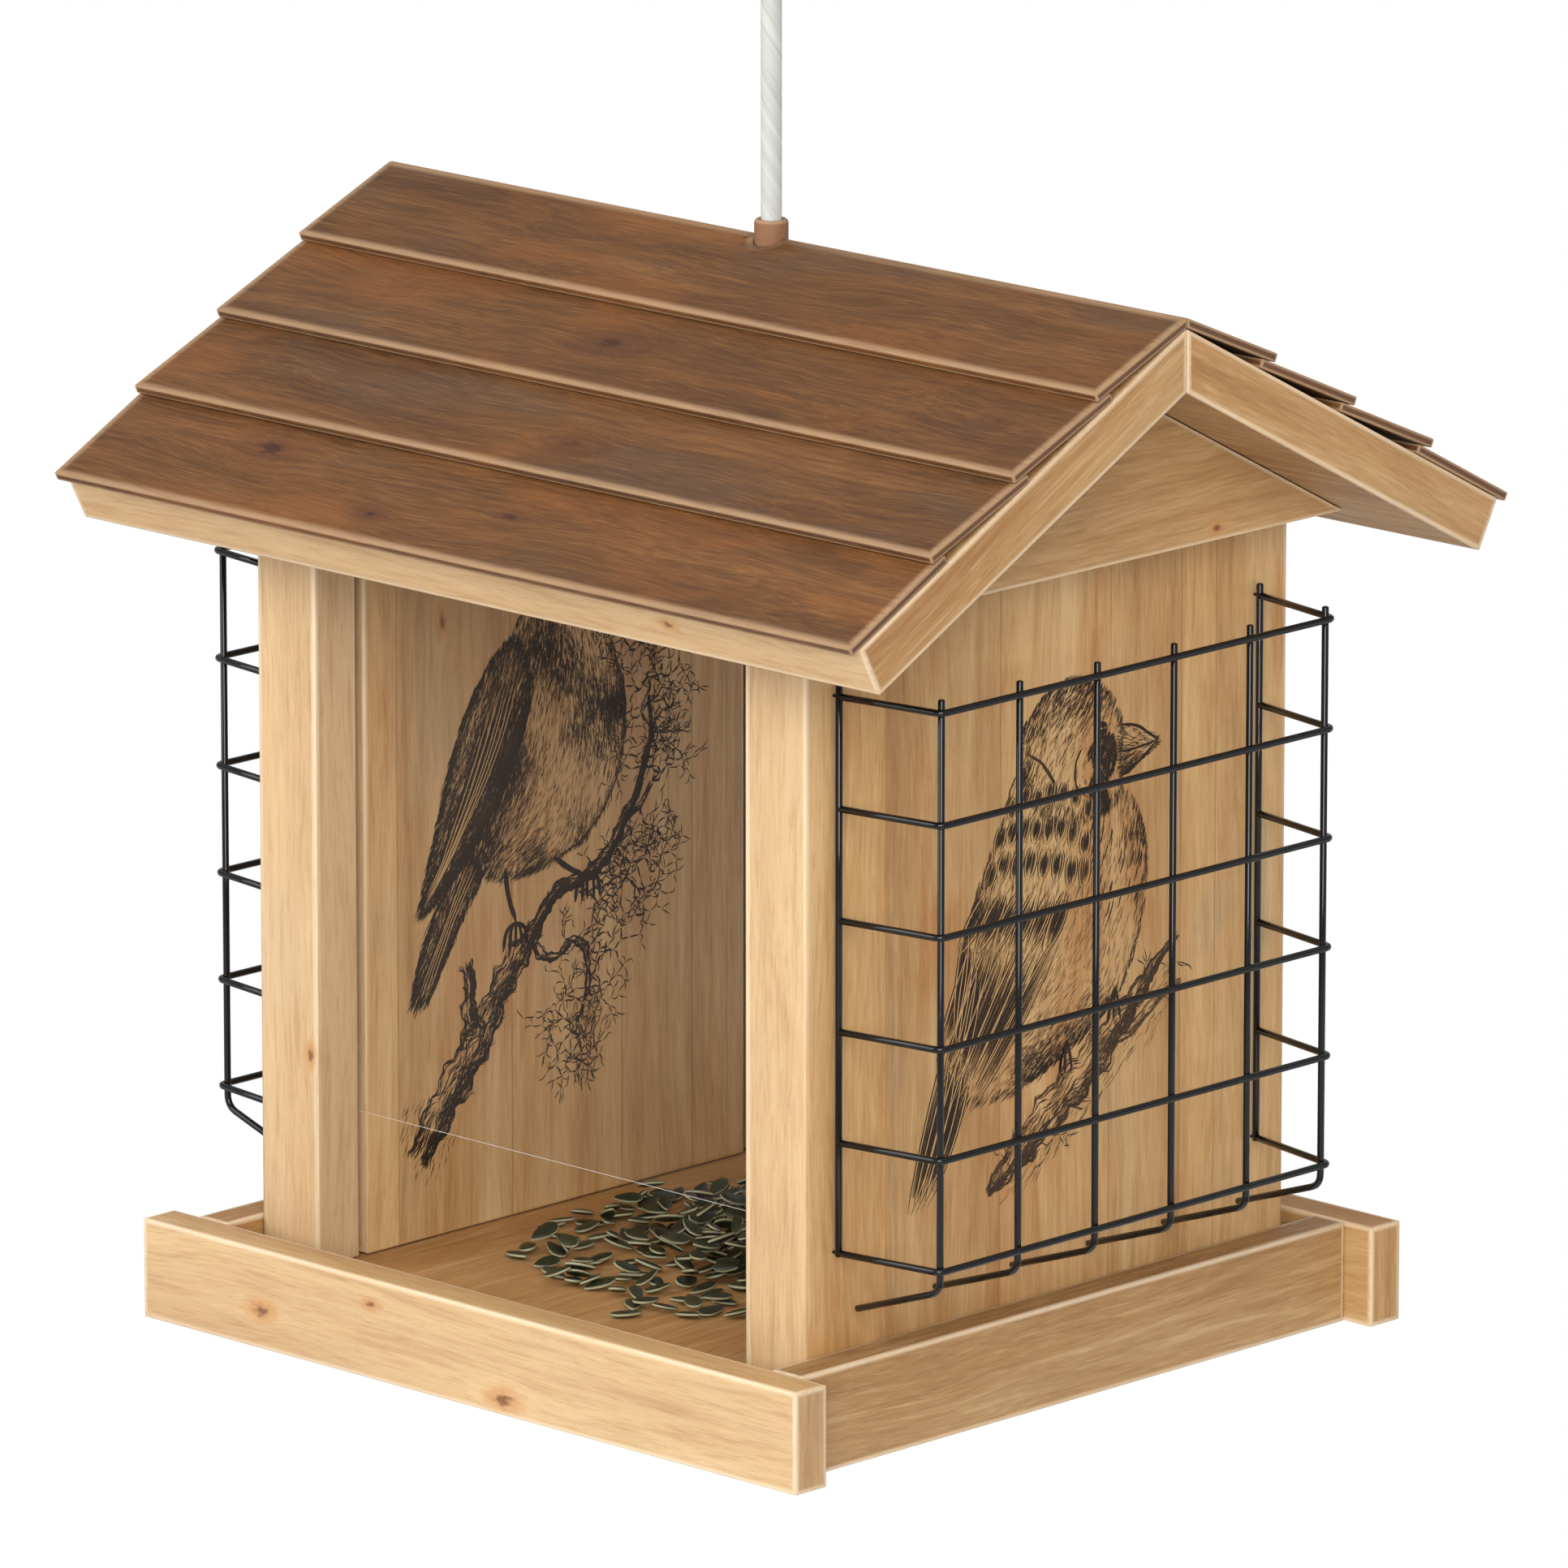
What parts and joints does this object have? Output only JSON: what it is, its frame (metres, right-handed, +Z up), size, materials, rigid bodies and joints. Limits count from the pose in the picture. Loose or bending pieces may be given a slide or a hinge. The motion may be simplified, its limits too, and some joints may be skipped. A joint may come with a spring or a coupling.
{
  "type": "hanging bird feeder",
  "caption": "House-shaped wooden hanging bird feeder with sliding clear windows, wire suet baskets on its end walls and a lapped-plank roof that slides up the rope.",
  "frame": {"origin": "the point where a hook bears in the loop at the top of the rope; the feeder hangs below it", "axes": "+Z up along the rope, +X along the roof's ridge, -Y towards the front"},
  "size_m": [0.2508, 0.2146, 0.3548],
  "materials": {
    "light_wood": "clear-oiled light oak, soft pale edges",
    "stained_wood": "brown stain, worn pale along the edges",
    "clear_acrylic": "clear, polished edges",
    "basket_wire": "gloss black powder coat",
    "rope_fibre": "off-white laid rope, matt",
    "screw_steel": "zinc plated",
    "seed": "dark green hulled pumpkin seed"
  },
  "bodies": {
    "hopper": {"front_tray_rail": "light_wood", "rear_tray_rail": "light_wood", "left_tray_rail": "light_wood", "right_tray_rail": "light_wood", "floor_board": "light_wood", "floor_screw_1": "screw_steel", "floor_screw_2": "screw_steel", "floor_screw_3": "screw_steel", "floor_screw_4": "screw_steel", "left_wall": "light_wood", "right_wall": "light_wood", "hanger_bar": "light_wood", "rope": "rope_fibre", "rope_stopper_knot": "rope_fibre", "rope_top_knot": "rope_fibre", "rope_top_loop": "rope_fibre", "left_suet_basket": "basket_wire", "right_suet_basket": "basket_wire", "seed_pile": "seed"},
    "roof": {"front_roof_board": "light_wood", "rear_roof_board": "light_wood", "left_gable_board": "light_wood", "right_gable_board": "light_wood", "front_plank_1": "stained_wood", "front_plank_2": "stained_wood", "front_plank_3": "stained_wood", "front_plank_4": "stained_wood", "rear_plank_1": "stained_wood", "rear_plank_2": "stained_wood", "rear_plank_3": "stained_wood", "rear_plank_4": "stained_wood", "ridge_bushing": "stained_wood"},
    "front_pane": {"front_window": "clear_acrylic"},
    "rear_pane": {"rear_window": "clear_acrylic"}
  },
  "joints": [
    {"name": "roof_lift", "type": "slide", "parent": "hopper", "child": "roof", "axis": [0, 0, 1], "range_m": [0, 0.052]},
    {"name": "front_window_slide", "type": "slide", "parent": "hopper", "child": "front_pane", "axis": [0, 0, 1], "range_m": [-0.0344, 0.0065]},
    {"name": "rear_window_slide", "type": "slide", "parent": "hopper", "child": "rear_pane", "axis": [0, 0, 1], "range_m": [-0.0344, 0.0065]}
  ]
}
